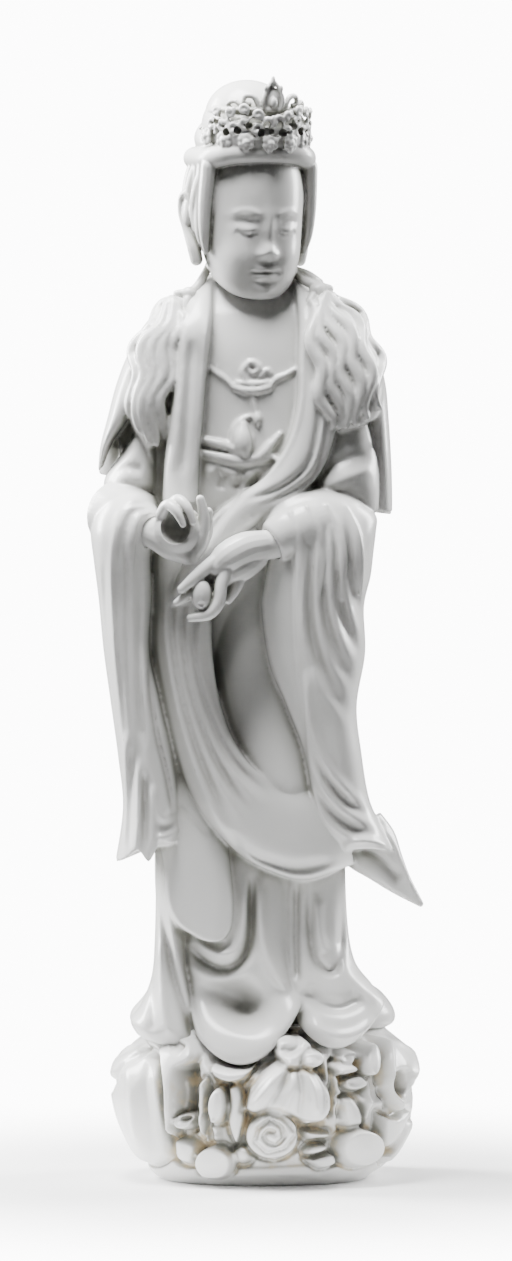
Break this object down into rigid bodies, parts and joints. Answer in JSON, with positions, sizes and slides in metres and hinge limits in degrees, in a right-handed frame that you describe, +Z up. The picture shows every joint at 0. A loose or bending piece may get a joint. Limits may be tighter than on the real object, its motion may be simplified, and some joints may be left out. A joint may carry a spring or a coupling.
{
  "type": "guanyin figure",
  "caption": "Standing Guanyin in white glazed porcelain, robed and crowned, on a carved base of waves, rocks and lotus.",
  "frame": {"origin": "middle of the flat underside of the base", "axes": "+Z up through the crown, the figure faces -Y, +X to the right of someone looking at its front"},
  "size_m": [0.1409, 0.1174, 0.4605],
  "materials": {
    "porcelain": "glossy white glaze"
  },
  "bodies": {
    "root": {"guanyin_figure": "porcelain", "right_hand": "porcelain", "left_hand": "porcelain"}
  },
  "joints": []
}
